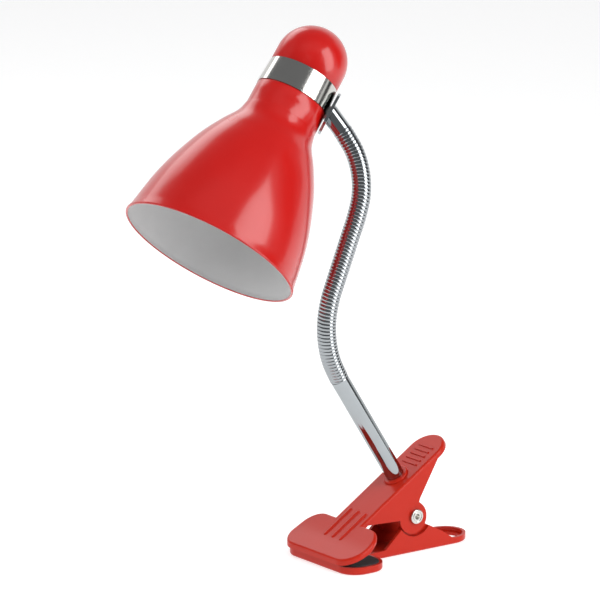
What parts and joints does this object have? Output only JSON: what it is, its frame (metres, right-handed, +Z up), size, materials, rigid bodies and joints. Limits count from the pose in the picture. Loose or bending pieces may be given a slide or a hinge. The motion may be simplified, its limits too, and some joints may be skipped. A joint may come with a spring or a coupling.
{
  "type": "clip-on reading lamp",
  "caption": "Clip-on reading lamp: bell shade on a swivel joint, bending gooseneck, chrome stem and a spring clip with rubber-lined jaws.",
  "frame": {"origin": "on the underside of the lower jaw, straight below the pivot", "axes": "+Z up from the underside, -X forward to the jaws and the shade, the pivot along Y"},
  "size_m": [0.2323, 0.1159, 0.3429],
  "materials": {
    "red_lacquer_clip": "satin gloss red lacquer on pressed steel",
    "red_lacquer_shade": "high gloss red outside, matt white inside",
    "chrome_neck": "bright chrome on wound wire",
    "chrome_tube": "bright chrome",
    "band_nickel": "polished nickel",
    "rubber_pad": "matt black, ribbed",
    "spring_steel": "drawn wire",
    "zinc_steel": "bright zinc plate",
    "rivet_nickel": "nickel plate",
    "holder_plastic": "moulded thermoset",
    "holder_ceramic": "glazed steatite",
    "contact_brass": "nickel-free brass strip"
  },
  "bodies": {
    "root": {"lower_lever": "red_lacquer_clip", "lower_pad": "rubber_pad", "pivot_rivet": "rivet_nickel", "torsion_spring": "spring_steel"},
    "upper_jaw": {"upper_lever": "red_lacquer_clip", "upper_pad": "rubber_pad", "stem_tube": "chrome_tube", "stem_nipple": "zinc_steel", "stem_washer": "zinc_steel", "stem_nut": "zinc_steel", "cord_grommet": "rubber_pad"},
    "neck_01": {"neck_link_01": "chrome_neck"},
    "neck_02": {"neck_link_02": "chrome_neck"},
    "neck_03": {"neck_link_03": "chrome_neck"},
    "neck_04": {"neck_link_04": "chrome_neck"},
    "neck_05": {"neck_link_05": "chrome_neck"},
    "neck_06": {"neck_link_06": "chrome_neck"},
    "neck_07": {"neck_link_07": "chrome_neck"},
    "neck_08": {"neck_link_08": "chrome_neck"},
    "neck_09": {"neck_link_09": "chrome_neck"},
    "neck_10": {"neck_link_10": "chrome_neck"},
    "neck_11": {"neck_link_11": "chrome_neck"},
    "neck_12": {"neck_link_12": "chrome_neck", "neck_ferrule": "chrome_tube", "swivel_disc": "chrome_tube", "swivel_stud": "zinc_steel", "swivel_washer": "zinc_steel", "swivel_nut": "zinc_steel"},
    "head": {"shade": "red_lacquer_shade", "neck_band": "band_nickel", "dome_cap": "red_lacquer_shade", "cap_screw": "zinc_steel", "holder_bracket": "zinc_steel", "holder_nipple": "zinc_steel", "holder_nut": "zinc_steel", "holder_dome": "holder_plastic", "holder_skirt": "holder_plastic", "insulating_sleeve": "holder_plastic", "screw_shell": "contact_brass", "contact_base": "holder_ceramic", "centre_contact": "contact_brass", "terminal_screws": "zinc_steel", "swivel_saddle": "zinc_steel"}
  },
  "joints": [
    {"name": "jaw_hinge", "type": "hinge", "parent": "root", "child": "upper_jaw", "pos_m": [0, 0, 0.024], "axis": [0, 1, 0], "range_deg": [0, 40], "stiffness_Nm_per_rad": 1.6, "springref_deg": -31.51, "deforming": ["torsion_spring"]},
    {"name": "lower_bend", "type": "hinge", "parent": "upper_jaw", "child": "neck_01", "pos_m": [-0.0513, 0, 0.12046], "axis": [0.0552, 0.9979, 0.0352], "range_deg": [-11, 11]},
    {"name": "lower_side", "type": "hinge", "parent": "neck_01", "child": "neck_02", "pos_m": [-0.05747, -0.00009, 0.13278], "axis": [-0.966, 0.0623, -0.2508], "range_deg": [-11, 11]},
    {"name": "lower_bend_2", "type": "hinge", "parent": "neck_02", "child": "neck_03", "pos_m": [-0.06095, -0.00037, 0.14612], "axis": [0.0552, 0.9979, 0.0352], "range_deg": [-11, 11]},
    {"name": "lower_side_2", "type": "hinge", "parent": "neck_03", "child": "neck_04", "pos_m": [-0.06158, -0.00082, 0.15988], "axis": [-0.9852, 0.0487, 0.1645], "range_deg": [-11, 11]},
    {"name": "lower_bend_3", "type": "hinge", "parent": "neck_04", "child": "neck_05", "pos_m": [-0.05934, -0.00143, 0.17347], "axis": [0.0552, 0.9979, 0.0352], "range_deg": [-11, 11]},
    {"name": "lower_side_3", "type": "hinge", "parent": "neck_05", "child": "neck_06", "pos_m": [-0.05484, -0.00214, 0.18649], "axis": [-0.9386, 0.0398, 0.3427], "range_deg": [-11, 11]},
    {"name": "upper_bend", "type": "hinge", "parent": "neck_06", "child": "neck_07", "pos_m": [-0.05014, -0.00285, 0.19946], "axis": [0.6111, 0.771, -0.179], "range_deg": [-7, 11]},
    {"name": "upper_side", "type": "hinge", "parent": "neck_07", "child": "neck_08", "pos_m": [-0.04543, -0.00357, 0.21242], "axis": [-0.7145, 0.6347, 0.2944], "range_deg": [-11, 11]},
    {"name": "upper_bend_2", "type": "hinge", "parent": "neck_08", "child": "neck_09", "pos_m": [-0.04073, -0.00429, 0.22539], "axis": [0.6111, 0.771, -0.179], "range_deg": [-7, 11]},
    {"name": "upper_side_2", "type": "hinge", "parent": "neck_09", "child": "neck_10", "pos_m": [-0.03705, -0.00412, 0.23866], "axis": [-0.7871, 0.6159, -0.0344], "range_deg": [-11, 11]},
    {"name": "upper_bend_3", "type": "hinge", "parent": "neck_10", "child": "neck_11", "pos_m": [-0.0359, -0.00189, 0.25221], "axis": [0.6111, 0.771, -0.179], "range_deg": [-7, 11]},
    {"name": "upper_side_3", "type": "hinge", "parent": "neck_11", "child": "neck_12", "pos_m": [-0.03735, 0.00228, 0.26526], "axis": [-0.7374, 0.4724, -0.4827], "range_deg": [-11, 11]},
    {"name": "head_swivel", "type": "hinge", "parent": "neck_12", "child": "head", "pos_m": [-0.0468, 0.01522, 0.28873], "axis": [0.6446, -0.6147, -0.4547], "range_deg": [-45, 45]}
  ],
  "couplings": [
    {"joint": "lower_bend_2", "follows": "lower_bend", "ratio": 1},
    {"joint": "lower_side_2", "follows": "lower_side", "ratio": 1},
    {"joint": "lower_bend_3", "follows": "lower_bend", "ratio": 1},
    {"joint": "lower_side_3", "follows": "lower_side", "ratio": 1},
    {"joint": "upper_bend_2", "follows": "upper_bend", "ratio": 1},
    {"joint": "upper_side_2", "follows": "upper_side", "ratio": 1},
    {"joint": "upper_bend_3", "follows": "upper_bend", "ratio": 1},
    {"joint": "upper_side_3", "follows": "upper_side", "ratio": 1}
  ]
}
